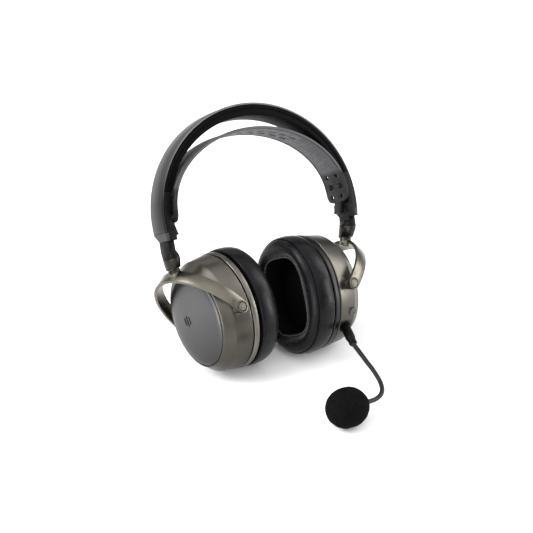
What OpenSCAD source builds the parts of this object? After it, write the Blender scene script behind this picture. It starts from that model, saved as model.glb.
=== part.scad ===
// Wireless over-ear headset with a suspension headband and a plug-in boom microphone.
// It stands on its cup bottoms and leans back, as it is put down on a desk.
// +Z is up, -Y is the wearer's front, +X is the wearer's left. Millimetres.

/* [Headband] */
// Half width of the headband bow, outside
band_half_w = 98.9; // [90:0.1:105]
// Half height of the headband bow, outside
band_half_h = 95.0; // [85:0.5:105]
// Width of the headband, front to back
band_width = 23; // [18:1:32]
// Thickness of the black liner at the crown
liner_crown = 11.5; // [6:0.5:14]
// Width of the suspension strap
strap_width = 33.8; // [26:0.2:40]
// Thickness of the suspension strap
strap_t = 2.0; // [1.4:0.2:3]
// Radius of the adjustment holes in the strap
strap_hole_r = 1.9; // [1:0.1:2.5]

/* [Fit] */
// How far the right slider is pulled out
extend_right = 8.0; // [0:0.5:25]
// How far the left slider is pulled out
extend_left = 2.5; // [0:0.5:25]
// Swivel of the right cup about its neck
swivel_right = -7.7; // [-15:0.1:15]
// Swivel of the left cup about its neck
swivel_left = 5.1; // [-15:0.1:15]
// Tilt of the right cup in its yoke
tilt_right = 7.4; // [-10:0.1:10]
// Tilt of the left cup in its yoke
tilt_left = -2.3; // [-10:0.1:10]

/* [Yoke] */
// Distance from the pivot line to each yoke arm's middle
yoke_reach = 48.2; // [46:0.1:54]
// Height of the yoke bow above the pivot line
yoke_rise = 51.1; // [48:0.1:60]
// Thickness of the yoke strip
yoke_t = 3.0; // [2:0.2:4]
// Width of the yoke strip
yoke_w = 11.0; // [8:0.5:14]
// Outward slant of the yoke bow from its neck
yoke_slant = 31.8; // [20:0.1:40]
// Radius of the cup pivot pins
pivot_r = 2.0; // [1.5:0.1:3]
// Radial clearance of a running fit
run_gap = 0.05; // [0.01:0.01:0.1]

/* [Ear cups] */
// Half height of the cup at its ring
cup_a = 52.4; // [46:0.2:58]
// Half width of the cup at its ring
cup_b = 43.8; // [38:0.2:50]
// Wall thickness of the barrel
wall = 2.4; // [1.6:0.2:3]
// Half height of the ear opening
ear_a = 34.2; // [30:0.2:40]
// Half width of the ear opening
ear_b = 27.0; // [24:0.2:32]
// Thickness of the ear pad
pad_t = 23.0; // [16:0.5:28]
// Radius of the driver's frame
driver_r = 37.0; // [30:0.5:38]
// Radius of the headphone jack's bore
jack_r = 1.75; // [1.75:0.05:1.8]
// Depth of the headphone jack's bore
jack_len = 14; // [12:0.5:16]

/* [Microphone] */
// Radius of the gooseneck
neck_r = 2.0; // [1.5:0.1:3]
// Half length of the foam windscreen
foam_len = 19; // [15:0.5:24]
// Radius of the foam windscreen
foam_r = 16.9; // [13:0.1:20]

/* [Hidden] */
lean_back = 27.9;
lean_side = 7.6;
origin_shift = [2.72, 64.30, 126.20];
seg = 72;

// Neck: the swivel axis runs from the hub up into the slider
hub = [88.4, 2.2, -37.0];
neck_tilt = 12.2;
neck_pitch = -2.5;
bow_at = [3.7, 7.6, -0.4];
hub_top = 4.9;

// Slider blade and the housing that guides it
blade_x = 92.4;
blade_y = 0;
blade_w = 14.0;
blade_t = 2.4;
blade_len = 34.0;
stem_x = [90.0, 95.9];
stem_w = 17.0;
stem_top = -5.4;
block_x = 88.2;
house_low = -16.0;
house_high = 25.0;
cover_low = -9.0;
cover_t = 1.7;
spring_t = 1.0;

// Strap curve and its fixing rows
strap_rx = 88.0;
strap_rz = 66.3;
strap_z = 6.4;
row_angles = [-2.5, 6, 14.5];
tab_end = -7;
tongue_end = -16;

// Barrel: half axes fall gently from the rim to a shoulder, then fast to the face
rim_x = -12.0;
mid_x = 5.5;
face_x = 14.7;
rim_a = 51.5;
rim_b = 43.1;
mid_a = 49.2;
mid_b = 41.1;
pad_back = -20.6;

// Where the controls sit round the left barrel, in degrees from the back
mix_at = 32;
power_at = 56;
volume_at = -30;
led_at = -45;
mute_at = -54;
usb_at = -68;
jack_at = -81;
front_at = 209.3;
front_x = 2.4;

// Microphone plug: mouth point and direction in the left cup's frame
plug_at = [-3.5, -28.3, -35.1];
plug_dir = [-0.27, -0.64, -0.72];
plug_len = 22.0;
pin_r = 1.75;
pin_len = 14.0;
socket_r = 5.6;
socket_out = 2.0;
route_low = [[-9.9, -43.4, -52.1], [-10.8, -47.5, -56.0], [-12, -53.5, -61.4],
             [-14, -62, -69], [-15.75, -69.9, -75.8]];
bend_at = [-16, -71, -76.8];
route_high = [[-16.5, -72.85, -78.6], [-18.6, -78.6, -84], [-21.2, -83.4, -89], [-24.6, -86.8, -93],
              [-29.5, -88.8, -96], [-36, -89.8, -97.6], [-44, -90.8, -97.8], [-56, -92.2, -97.5]];
foam_at = [-69.7, -93.7, -97.1];
foam_turn = 7.5;

// ---- Points and frames ----

function band_a(x) = rim_a + (mid_a - rim_a) * (x - rim_x) / (mid_x - rim_x);
function band_b(x) = rim_b + (mid_b - rim_b) * (x - rim_x) / (mid_x - rim_x);
function oval_pts(a, b, n = seg) = [for (i = [0 : n - 1]) [b * cos(i * 360 / n), a * sin(i * 360 / n)]];
function sgn_pow(v, p) = sign(v) * pow(abs(v), p);
function unit(v) = v / norm(v);
function slope_at(phi, x) = atan2(sin(phi) / band_a(x), cos(phi) / band_b(x));

module stand() {
    translate(origin_shift) rotate([-lean_back, lean_side, 0]) children();
}

// s = 1 is the wearer's left, s = -1 the wearer's right
module side(s) {
    mirror([s < 0 ? 1 : 0, 0, 0]) children();
}

function extend_of(s) = s < 0 ? extend_right : extend_left;
function swivel_of(s) = s < 0 ? swivel_right : swivel_left;
function tilt_of(s) = s < 0 ? tilt_right : tilt_left;

module on_slider(s) {
    stand() side(s) translate([0, 0, -extend_of(s)]) children();
}

module on_neck() {
    translate(hub) rotate([neck_pitch, 0, 0]) rotate([0, neck_tilt, 0]) children();
}

module on_yoke(s) {
    on_slider(s) on_neck() rotate([0, 0, swivel_of(s)]) children();
}

module at_pivot() {
    translate(bow_at) translate([-yoke_rise * sin(yoke_slant), 0, -yoke_rise * cos(yoke_slant)]) children();
}

module on_cup(s) {
    on_yoke(s) at_pivot() rotate([0, tilt_of(s) - neck_tilt, 0]) children();
}

// Local +Z leaves the barrel's wall at angle phi round it
module on_barrel(phi, x) {
    translate([x, band_b(x) * cos(phi), band_a(x) * sin(phi)])
        rotate([slope_at(phi, x) - 90, 0, 0]) children();
}

module along_x() {
    rotate([90, 0, 90]) children();
}

module along(v) {
    rotate([0, acos(v[2] / norm(v)), atan2(v[1], v[0])]) children();
}

// ---- Shapes used more than once ----

module oval_plate(x0, x1, a, b) {
    translate([x0, 0, 0]) along_x() linear_extrude(x1 - x0) polygon(oval_pts(a, b));
}

// Solid through oval rings, each given as [x, half height, half width, middle y]
module oval_loft(rings, n = seg) {
    pts = [for (r = rings, i = [0 : n - 1])
        [r[0], r[3] + r[2] * cos(i * 360 / n), r[1] * sin(i * 360 / n)]];
    m = len(rings);
    sides = [for (k = [0 : m - 2], i = [0 : n - 1])
        [k * n + i, (k + 1) * n + i, (k + 1) * n + (i + 1) % n, k * n + (i + 1) % n]];
    low = [for (i = [0 : n - 1]) i];
    high = [for (i = [0 : n - 1]) m * n - 1 - i];
    polyhedron(pts, concat(sides, [low], [high]), convexity = 6);
}

// The same along +Z, each ring given as [z, half x, half y, middle y]
module rod_loft(rings, n = 40) {
    rotate([0, -90, 0]) oval_loft(rings, n);
}

// Strip of the headband bow between two depths under its outer face
function bow_pt(t, dx, dz) = [(band_half_w - dx) * cos(t), (band_half_h - dz) * sin(t)];
module bow(d0, dx1, dz1, z_low, width) {
    t0 = asin(z_low / (band_half_h - d0));
    t1 = asin(z_low / (band_half_h - dz1));
    n = 72;
    rotate([90, 0, 0]) linear_extrude(width, center = true) polygon(concat(
        [for (i = [0 : n]) bow_pt(t0 + (180 - 2 * t0) * i / n, d0, d0)],
        [for (i = [0 : n]) bow_pt(180 - t1 - (180 - 2 * t1) * i / n, dx1, dz1)]));
}

// Closed ring of one cross-section carried round an oval
module oval_ring(a, b, section, n = seg) {
    m = len(section);
    pts = [for (i = [0 : n - 1], s = section)
        [s[0], (b + s[1]) * cos(i * 360 / n), (a + s[1]) * sin(i * 360 / n)]];
    faces = [for (i = [0 : n - 1], j = [0 : m - 1])
        [i * m + j, i * m + (j + 1) % m, ((i + 1) % n) * m + (j + 1) % m, ((i + 1) % n) * m + j]];
    polyhedron(pts, faces, convexity = 8);
}

// Round tube swept through a route
module swept_tube(route, r, n = 10) {
    m = len(route);
    dirs = [for (k = [0 : m - 1])
        unit(route[min(k + 1, m - 1)] - route[max(k - 1, 0)])];
    ref = unit([-0.1, 0.75, -0.65]);
    pts = [for (k = [0 : m - 1]) let (u = unit(cross(dirs[k], ref)), v = cross(dirs[k], u))
        for (i = [0 : n - 1]) route[k] + r * (u * cos(i * 360 / n) + v * sin(i * 360 / n))];
    sides = [for (k = [0 : m - 2], i = [0 : n - 1])
        [k * n + i, (k + 1) * n + i, (k + 1) * n + (i + 1) % n, k * n + (i + 1) % n]];
    low = [for (i = [0 : n - 1]) i];
    high = [for (i = [0 : n - 1]) m * n - 1 - i];
    polyhedron(pts, concat(sides, [low], [high]), convexity = 4);
}

module rounded_box(size, r) {
    linear_extrude(size[2], center = true) hull()
        for (x = [-1, 1], y = [-1, 1])
            translate([x * (size[0] / 2 - r), y * (size[1] / 2 - r)]) circle(r, $fn = 24);
}

// ---- Headband ----

module headband_cover() {
    color([0.36, 0.36, 0.37]) stand()
        bow(0, cover_t, cover_t, cover_low, band_width);
}

module spring_band() {
    color([0.62, 0.63, 0.65]) stand()
        bow(cover_t + 0.05, cover_t + spring_t, cover_t + spring_t, 27, band_width - 7);
}

module band_liner() {
    color([0.06, 0.06, 0.065]) stand() difference() {
        bow(cover_t + 0.06, 8.4, liner_crown, house_high, band_width);
        bow(cover_t - 1, cover_t + spring_t + 0.1, cover_t + spring_t + 0.1, house_high - 1, band_width - 6.8);
        for (y = [-1, 1]) translate([0, y * (band_width / 2), 0])
            bow(5.0, 5.8, 6.2, house_high - 1, 1.0);
    }
}

module at_screw() {
    translate([block_x + 1.3, -6.8, -9]) rotate([0, -90, 0]) children();
}

// Plastic end that carries the slider's slot and the strap's pegs
module end_housing(s) {
    color([0.12, 0.12, 0.125]) stand() side(s) difference() {
        intersection() {
            union() {
                bow(cover_t, 8.4, 12.0, cover_low - 0.3, band_width);
                bow(0, 8.4, 12.0, house_low, band_width);
                translate([block_x, -band_width / 2, house_low]) cube([4, band_width, 12.4]);
            }
            translate([50, -20, house_low]) cube([60, 40, house_high - 0.3 - house_low]);
            union() {
                translate([50, -20, cover_low - 0.2]) cube([46.2, 40, 40]);
                bow(cover_t, 20, 20, house_low, band_width);
                translate([50, -20, house_low - 1]) cube([60, 40, cover_low - house_low + 0.9]);
            }
        }
        difference() {
            bow(-1, cover_t, cover_t, cover_low - 0.1, band_width + 2);
            translate([50, -20, house_low - 1]) cube([60, 40, cover_low - house_low + 0.9]);
        }
        translate([blade_x, blade_y, 0])
            cube([blade_t + 0.4, blade_w + 0.5, 2 * 19.0], center = true);
        translate([stem_x[0] - 0.3, -stem_w / 2 - 0.3, house_low - 2])
            cube([stem_x[1] - stem_x[0] + 0.6, stem_w + 0.6, stem_top + 2.4 - house_low]);
        translate([80, 0, 0]) along_x() linear_extrude(30)
            polygon([[band_width / 2 + 0.1, -10], [4.5, house_low - 0.1], [4.5, -18], [14, -18], [14, -10]]);
        at_screw() cylinder(h = 1.3, r = 1.95, $fn = 32);
    }
}

function strap_pt(t, d) = [(strap_rx - d) * cos(t), strap_z + (strap_rz - d) * sin(t)];

// The strap's plain bow, from one tab to the other
module strap_bow(d0, d1, t0, width) {
    n = 60;
    rotate([90, 0, 0]) linear_extrude(width, center = true) polygon(concat(
        [for (i = [0 : n]) strap_pt(t0 + (180 - 2 * t0) * i / n, d0)],
        [for (i = [0 : n]) strap_pt(180 - t0 - (180 - 2 * t0) * i / n, d1)]));
}

module at_strap(t) {
    p = strap_pt(t, strap_t / 2);
    translate([p[0], 0, p[1]]) rotate([0, 90 - atan2(sin(t) * strap_rx, cos(t) * strap_rz), 0])
        children();
}

module suspension_strap() {
    color([0.17, 0.17, 0.18]) stand() difference() {
        union() {
            strap_bow(0, strap_t, tab_end, strap_width);
            strap_bow(0, strap_t, tongue_end, 10);
        }
        for (s = [-1, 1]) side(s) {
            for (t = row_angles, y = [-7.5, 7.5])
                at_strap(t) translate([0, y, 0]) cylinder(h = 8, r = strap_hole_r, center = true, $fn = 24);
            for (y = [-1, 1]) at_strap(tab_end) difference() {
                translate([-3.5, y * (strap_width / 2 - 4), 0]) cube([11, 10, 12], center = true);
                translate([-9, y * (strap_width / 2 - 9), 0]) cylinder(h = 14, r = 9, center = true, $fn = 64);
            }
        }
        for (i = [-4 : 4], y = [-4.5, 4.5])
            at_strap(90 + i * 7.5 + sign(y) * 1.9) translate([0, y, 0]) union() {
                for (x = [-1.7, 1.7]) translate([x, 0, 0])
                    cylinder(h = 8, r = 1.6, center = true, $fn = 24);
                cube([3.4, 3.2, 8], center = true);
            }
    }
}

// Two split-head pegs that hold the strap's middle row of holes
module strap_pegs(s) {
    color([0.05, 0.05, 0.055]) stand() side(s) for (y = [-7.5, 7.5])
        at_strap(row_angles[1]) translate([0, y, 0]) difference() {
            union() {
                translate([0, 0, -strap_t / 2 - 1.6]) cylinder(h = 4.8, r = strap_hole_r - 0.1, $fn = 24);
                translate([0, 0, -strap_t / 2 - 1.7]) cylinder(h = 1.6, r1 = 1.9, r2 = 2.6, $fn = 32);
            }
            translate([0, 0, -strap_t / 2 - 2]) cube([0.7, 6, 2.2], center = true);
            translate([0, 0, -strap_t / 2 - 2]) cube([6, 0.7, 2.2], center = true);
        }
}

module housing_screws() {
    color([0.45, 0.45, 0.47]) stand() for (s = [-1, 1]) side(s)
        at_screw() difference() {
            translate([0, 0, 0.05]) cylinder(h = 1.65, r = 1.9, $fn = 32);
            translate([0, 0, 0.9]) cylinder(h = 2, r = 0.9, $fn = 6);
        }
}

// ---- Sliders and yokes ----

module slider(s) {
    color([0.07, 0.07, 0.075]) on_slider(s) difference() {
        union() {
            translate([blade_x - blade_t / 2, blade_y - blade_w / 2, house_low - 4])
                cube([blade_t, blade_w, blade_len + 3]);
            translate([stem_x[0], -stem_w / 2, house_low - 0.6])
                cube([stem_x[1] - stem_x[0], stem_w, stem_top + 0.6 - house_low]);
            hull() {
                translate([stem_x[0], -stem_w / 2, house_low - 0.6])
                    cube([stem_x[1] - stem_x[0], stem_w, 0.5]);
                on_neck() rod_loft([[14.1, 6.7, 9.7, -3.5], [15.4, 6.7, 9.7, -3.7]]);
            }
        }
        on_neck() translate([0, 0, 13]) cylinder(h = 4.0, r = 4.7, $fn = 48);
    }
}

module collar(s) {
    color([0.34, 0.32, 0.30]) on_slider(s) on_neck() difference() {
        rod_loft([[5.2, 5.4, 8.0, -0.2], [6.0, 6.0, 8.7, -0.5], [13.0, 6.9, 9.9, -3.2], [14.0, 6.7, 9.7, -3.5]]);
        translate([0, 0, 4]) cylinder(h = 12, r = 3 + run_gap, $fn = 48);
    }
}

// Steel strip bent to a bow, with a round eye at each arm's end and a hub on its crown
module yoke(s) {
    bow_pts = [for (i = [0 : 48]) [(yoke_reach + yoke_t / 2) * cos(i * 3.75),
        (yoke_rise + yoke_t / 2) * sin(i * 3.75)]];
    back_pts = [for (i = [0 : 48]) [(yoke_reach - yoke_t / 2) * cos(180 - i * 3.75),
        (yoke_rise - yoke_t / 2) * sin(180 - i * 3.75)]];
    color([0.36, 0.34, 0.31]) on_yoke(s) difference() {
        union() {
            at_pivot() rotate([0, yoke_slant, 0]) {
                translate([-yoke_w / 2, 0, 0]) along_x() linear_extrude(yoke_w)
                    polygon(concat(bow_pts, back_pts));
                for (y = [-1, 1]) translate([0, y * yoke_reach, 0]) rotate([90, 0, 0])
                    cylinder(h = yoke_t, r = yoke_w / 2, center = true, $fn = 64);
            }
            translate([0, 0, -2.4]) cylinder(h = hub_top + 2.4, r = 5.2, $fn = 64);
        }
        at_pivot() {
            rotate([90, 0, 0]) cylinder(h = 120, r = pivot_r, center = true, $fn = 48);
            for (y = [-1, 1]) rotate([90 * y, 0, 0]) translate([0, 0, yoke_reach + yoke_t / 2 - 1.0])
                cylinder(h = 3, r = 3.75, $fn = 48);
        }
        translate([0, 0, -6]) cylinder(h = 16, r = 3, $fn = 48);
    }
}

module swivel_pin(s) {
    color([0.6, 0.6, 0.62]) on_yoke(s) {
        translate([0, 0, -1.2]) cylinder(h = 16.8, r = 3, $fn = 48);
        translate([0, 0, 14.3]) cylinder(h = 1.6, r = 4.3, $fn = 48);
    }
}

module pivot_pins(s) {
    color([0.4, 0.38, 0.35]) on_yoke(s) at_pivot() for (k = [0, 1]) rotate([90, 0, 180 * k]) {
        translate([0, 0, 41]) cylinder(h = 9.4, r = pivot_r, $fn = 48);
        translate([0, 0, yoke_reach + yoke_t / 2 - 0.95]) cylinder(h = 0.95, r = 3.6, $fn = 48);
        translate([0, 0, yoke_reach + yoke_t / 2]) cylinder(h = 0.3, r1 = 3.6, r2 = 3.3, $fn = 48);
    }
}

// ---- Cups ----

module barrel_shell() {
    difference() {
        union() {
            oval_loft([[rim_x, 51.0, 42.6, 0], [-11.4, 51.4, 43.0, 0], [-10.6, band_a(-10.6), band_b(-10.6), 0],
                [4.8, band_a(4.8), band_b(4.8), 0], [mid_x, mid_a - 0.2, mid_b - 0.2, 0],
                [6.3, mid_a - 0.8, mid_b - 0.8, 0], [9.6, 46.0, 38.3, 0], [10.4, 45.4, 37.7, 0],
                [13.6, 43.6, 36.0, 0], [14.4, 43.0, 35.4, 0], [face_x, 42.6, 35.0, 0]]);
            for (y = [-1, 1]) rotate([90 * y, 0, 0]) translate([0, 0, 36]) cylinder(h = 10.3, r = 4.7, $fn = 48);
        }
        difference() {
            oval_loft([[-13, 49.2, 40.8, 0], [-11, 49.0, 40.6, 0], [5, 46.8, 38.7, 0], [10.4, 42.8, 35.2, 0],
                [12.4, 41.4, 33.8, 0]]);
            for (y = [-1, 1]) rotate([90 * y, 0, 0]) translate([0, 0, 33]) cylinder(h = 12, r = 5.6, $fn = 48);
        }
        oval_plate(13.4, 16, 42.1, 34.5);
        oval_plate(10, 16, 35, 27.5);
        for (y = [-1, 1]) rotate([90 * y, 0, 0]) translate([0, 0, 40.6])
            cylinder(h = 8, r = pivot_r + run_gap, $fn = 48);
    }
}

module barrel(s) {
    color([0.38, 0.36, 0.33]) on_cup(s) difference() {
        barrel_shell();
        if (s > 0) {
            on_barrel(front_at, front_x) translate([0, 0, -8]) cylinder(h = 14, r = 3.8, $fn = 48);
            on_barrel(power_at, 1) translate([0, 0, -8]) cylinder(h = 14, r = 3.9, $fn = 48);
            for (p = [mix_at, volume_at]) on_barrel(p, 2) cube([5.0, 20.4, 12], center = true);
            on_barrel(mute_at, 1) cube([9.6, 4.2, 12], center = true);
            on_barrel(led_at, 1) translate([0, 0, -6]) cylinder(h = 12, r = 1.0, $fn = 32);
            on_barrel(usb_at, 1) rotate([0, 0, 90]) rounded_box([3.5, 9.3, 14], 1.7);
            on_barrel(jack_at, 1) translate([0, 0, -8]) cylinder(h = 12, r = 3.6, $fn = 48);
            translate(plug_at) along(plug_dir) translate([0, 0, -12])
                cylinder(h = 20, r = socket_r, $fn = 64);
        }
    }
}

module face_plate(s) {
    color([0.25, 0.25, 0.26]) on_cup(s) difference() {
        oval_loft([[13.4, 41.5, 33.9, 0], [14.2, 41.5, 33.9, 0], [15.2, 41.0, 33.4, 0], [16.0, 39.6, 32.1, 0],
            [16.7, 37.2, 29.9, 0], [17.4, 32.5, 25.8, 0], [18.0, 25, 19.4, 0], [18.4, 15, 11.6, 0],
            [18.5, 6, 4.6, 0]]);
        badge_bars(0.05);
    }
}

// Three plain bars in place of a badge
module badge_bars(gap) {
    translate([18.1, 8.0, 0.4]) for (k = [-1, 0, 1]) translate([0, k * 3.4, 0]) rotate([0, 90, 0])
        rounded_box([10 - 3 * abs(k) + 2 * gap, 1.7 + 2 * gap, 1.1 + 2 * gap], 0.8 + gap);
}

module emblem(s) {
    color([0.12, 0.12, 0.125]) on_cup(s) badge_bars(0);
}

module trim_ring(s) {
    color([0.40, 0.38, 0.35]) on_cup(s) oval_ring(cup_a, cup_b,
        [[-13.3, -1.7], [-13.3, -0.9], [-13.9, -0.4], [-17.8, 0.0], [-18.5, -0.5], [-18.5, -1.7]]);
}

module baffle(s) {
    color([0.05, 0.05, 0.055]) on_cup(s) difference() {
        union() {
            oval_plate(-19.6, -12.3, 50.4, 41.8);
            oval_plate(-12.4, -9.2, 48.4, 40.0);
        }
        oval_plate(-16.2, -8, 46.6, 38.2);
        rotate([0, 90, 0]) cylinder(h = 60, r = 31.5, center = true, $fn = 64);
        for (z = [-1, 1], k = [-2 : 2]) translate([-18, k * 7, z * (40.5 - abs(k) * 1.6)])
            rotate([0, 90, 0]) cylinder(h = 12, r = 1.5, center = true, $fn = 24);
    }
}

module pad_frame(s) {
    color([0.05, 0.05, 0.055]) on_cup(s) difference() {
        union() {
            oval_plate(-21.9, -19.7, 47.4, 38.8);
            oval_plate(-20.5, -19.7, 50.6, 42.0);
            translate([-20.1, -42.2, 2]) cube([0.8, 3.4, 5], center = true);
        }
        oval_plate(-24, -18, 38.5, 31.0);
    }
}

// Cushion ring; its section is a fat rounded square
pad_sec = [for (j = [0 : 17]) let (q = -j * 20)
    [pad_back - pad_t / 2 + pad_t / 2 * sgn_pow(cos(q), 0.72), 10 * sgn_pow(sin(q), 0.72)]];
module ear_pad(s) {
    color([0.08, 0.08, 0.085]) on_cup(s) difference() {
        oval_ring(ear_a + 10, ear_b + 10, pad_sec);
        oval_plate(-22.2, -19, 47.8, 39.2);
    }
}

module dust_mesh(s) {
    color([0.03, 0.03, 0.03]) on_cup(s) oval_plate(-21.6, -21.0, 38.2, 30.7);
}

module driver_frame(s) {
    color([0.2, 0.2, 0.21]) on_cup(s) translate([-16.0, 0, 0]) rotate([0, 90, 0]) difference() {
        cylinder(h = 4.0, r = driver_r, $fn = 96);
        translate([0, 0, -1]) cylinder(h = 6, r = driver_r - 5, $fn = 96);
        for (k = [0 : 5]) rotate([0, 0, k * 60]) translate([driver_r - 2.2, 0, -1])
            cylinder(h = 6, r = 1.1, $fn = 24);
    }
}

module diaphragm(s) {
    color([0.75, 0.7, 0.45]) on_cup(s) translate([-14.4, 0, 0]) rotate([0, 90, 0])
        cylinder(h = 0.5, r = driver_r - 5, $fn = 96);
}

module magnet_array(s) {
    color([0.5, 0.5, 0.52]) on_cup(s) difference() {
        translate([-11.9, 0, 0]) rotate([0, 90, 0]) cylinder(h = 5.0, r = 33, $fn = 96);
        for (k = [-3 : 3]) translate([-12, k * 8, 0]) cube([12, 3, 52 - abs(k) * 5], center = true);
    }
}

module battery() {
    color([0.15, 0.3, 0.5]) on_cup(-1) translate([-2.6, 0, 0]) rotate([0, 90, 0])
        rounded_box([50, 34, 6.4], 2);
}

module circuit_board() {
    color([0.05, 0.3, 0.12]) on_cup(1) {
        translate([-3.4, 0, 6]) cube([1.6, 30, 46], center = true);
        translate([-1.8, 4, 8]) cube([1.6, 12, 12], center = true);
        translate([-1.9, -6, -8]) cube([1.4, 9, 9], center = true);
    }
}

// ---- Controls on the left cup ----

module front_button() {
    color([0.33, 0.32, 0.30]) on_cup(1) on_barrel(front_at, front_x) difference() {
        translate([0, 0, -4]) cylinder(h = 4.9, r = 3.5, $fn = 48);
        difference() {
            translate([0, 0, 0.5]) cylinder(h = 2, r = 2.7, $fn = 48);
            translate([0, 0, 0]) cylinder(h = 3, r = 2.0, $fn = 48);
            translate([3, 0, 0]) cube([4, 2.4, 4], center = true);
        }
    }
}

module power_button() {
    color([0.1, 0.1, 0.1]) on_cup(1) on_barrel(power_at, 1) {
        translate([0, 0, -3.5]) cylinder(h = 4.7, r = 3.6, $fn = 48);
    }
}

// Knurled thumb wheel that shows through a slot; its axle runs along the cup's depth
module thumb_wheel(phi) {
    on_barrel(phi, 2) translate([0, 0, -6.2]) rotate([0, 90, 0]) difference() {
        cylinder(h = 4.2, r = 8.4, center = true, $fn = 96);
        cylinder(h = 8, r = 1.5 + run_gap, center = true, $fn = 32);
        for (k = [0 : 23]) rotate([0, 0, k * 15]) translate([8.6, 0, 0])
            cylinder(h = 8, r = 0.55, center = true, $fn = 16);
    }
}

module volume_wheel() {
    color([0.1, 0.1, 0.1]) on_cup(1) thumb_wheel(volume_at);
}

module mix_wheel() {
    color([0.1, 0.1, 0.1]) on_cup(1) thumb_wheel(mix_at);
}

// Each axle has a cheek on its inner side that stands on the barrel's wall
module wheel_axles() {
    color([0.3, 0.3, 0.31]) on_cup(1) for (p = [mix_at, volume_at])
        on_barrel(p, 2) translate([0, 0, -6.2]) {
            rotate([0, 90, 0]) translate([0, 0, -3.6]) cylinder(h = 7.2, r = 1.5, $fn = 32);
            translate([-4.0, 0, 0.3]) cube([2.2, 6, 7.2], center = true);
        }
}

module mute_switch() {
    color([0.1, 0.1, 0.1]) on_cup(1) on_barrel(mute_at, 1) {
        translate([-1.5, 0, -1.2]) cube([5.0, 3.2, 4.2], center = true);
        translate([-1.5, 0, -6.1]) cube([9.6, 6.0, 1.2], center = true);
        translate([-1.5, 0, -3.9]) cube([5.0, 3.2, 3.8], center = true);
    }
}

module status_led() {
    color([0.9, 0.9, 0.85]) on_cup(1) on_barrel(led_at, 1)
        translate([0, 0, -3]) cylinder(h = 3.1, r = 0.95, $fn = 32);
}

module usb_port() {
    color([0.55, 0.55, 0.57]) on_cup(1) on_barrel(usb_at, 1) rotate([0, 0, 90]) difference() {
        translate([0, 0, -4.2]) rounded_box([3.3, 9.1, 7.6], 1.6);
        translate([0, 0, -3.4]) rounded_box([2.6, 8.4, 8], 1.25);
    }
}

module audio_jack() {
    color([0.1, 0.1, 0.1]) on_cup(1) on_barrel(jack_at, 1) difference() {
        translate([0, 0, -jack_len - 1.4]) cylinder(h = jack_len + 1.6, r = 3.5, $fn = 48);
        translate([0, 0, -jack_len + 0.2]) cylinder(h = jack_len + 2, r = jack_r, $fn = 48);
    }
}

// ---- Microphone, in the left cup's frame ----

module on_plug() {
    on_cup(1) translate(plug_at) along(plug_dir) children();
}

module mic_socket() {
    color([0.05, 0.05, 0.055]) on_plug() difference() {
        union() {
            translate([0, 0, -15]) cylinder(h = 15 + socket_out - 0.5, r = socket_r - 0.1, $fn = 64);
            translate([0, 0, socket_out - 0.5]) cylinder(h = 0.5, r1 = socket_r - 0.1, r2 = socket_r - 0.6, $fn = 64);
        }
        translate([0, 0, -13.0]) cylinder(h = 30, r = pin_r + run_gap, $fn = 48);
    }
}

module mic_jack_pin() {
    color([0.75, 0.68, 0.45]) on_plug() translate([0, 0, socket_out + 0.2]) {
        translate([0, 0, -pin_len]) cylinder(h = pin_len + 3, r = pin_r, $fn = 48);
    }
}

module mic_plug_body() {
    color([0.05, 0.05, 0.055]) on_plug() difference() {
        union() {
            translate([0, 0, socket_out + 0.2]) cylinder(h = 1.4, r1 = 3.8, r2 = 4.3, $fn = 64);
            translate([0, 0, socket_out + 1.6]) cylinder(h = 12.4, r = 4.3, $fn = 64);
            translate([0, 0, socket_out + 14]) cylinder(h = 3, r1 = 4.3, r2 = 3.5, $fn = 64);
            translate([0, 0, socket_out + 17]) cylinder(h = plug_len - 19 + 1.2, r = 3.5, $fn = 64);
        }
        translate([0, 0, 0]) cylinder(h = socket_out + 3.2, r = pin_r, $fn = 48);
    }
}

module gooseneck_lower() {
    color([0.05, 0.05, 0.055]) on_cup(1) {
        swept_tube(route_low, neck_r);
        translate(bend_at) sphere(r = neck_r + 0.15, $fn = 32);
    }
}

module gooseneck_upper() {
    color([0.05, 0.05, 0.055]) on_cup(1) swept_tube(route_high, neck_r);
}

module on_foam() {
    on_cup(1) translate(foam_at) rotate([0, 0, foam_turn]) rotate([0, -90, 0]) children();
}

module mic_holder() {
    color([0.1, 0.1, 0.1]) on_foam() {
        translate([0, 0, -13.5]) cylinder(h = 16, r = 4.8, $fn = 48);
        translate([0, 0, 2.5]) cylinder(h = 3, r = 4.2, $fn = 48);
    }
}

foam_pts = [for (i = [0 : 16]) let (q = -90 + i * 11.25)
    [foam_r * pow(abs(cos(q)), 0.93), foam_len * sgn_pow(sin(q), 0.95)]];
module windscreen() {
    color([0.03, 0.03, 0.03]) on_foam() difference() {
        rotate_extrude($fn = 64) polygon(foam_pts);
        translate([0, 0, -30]) cylinder(h = 35.8, r = 5.0, $fn = 48);
    }
}

// ---- Nodes ----

headband_cover();
spring_band();
band_liner();
end_housing(-1);  // end_housing_r
end_housing(1);  // end_housing_l
suspension_strap();
strap_pegs(-1);  // strap_pegs_r
strap_pegs(1);  // strap_pegs_l
housing_screws();
slider(-1);  // slider_r
slider(1);  // slider_l
collar(-1);  // collar_r
collar(1);  // collar_l
yoke(-1);  // yoke_r
yoke(1);  // yoke_l
swivel_pin(-1);  // swivel_pin_r
swivel_pin(1);  // swivel_pin_l
pivot_pins(-1);  // pivot_pins_r
pivot_pins(1);  // pivot_pins_l
barrel(-1);  // barrel_r
barrel(1);  // barrel_l
face_plate(-1);  // face_plate_r
face_plate(1);  // face_plate_l
emblem(-1);  // emblem_r
emblem(1);  // emblem_l
trim_ring(-1);  // trim_ring_r
trim_ring(1);  // trim_ring_l
baffle(-1);  // baffle_r
baffle(1);  // baffle_l
pad_frame(-1);  // pad_frame_r
pad_frame(1);  // pad_frame_l
ear_pad(-1);  // ear_pad_r
ear_pad(1);  // ear_pad_l
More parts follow.
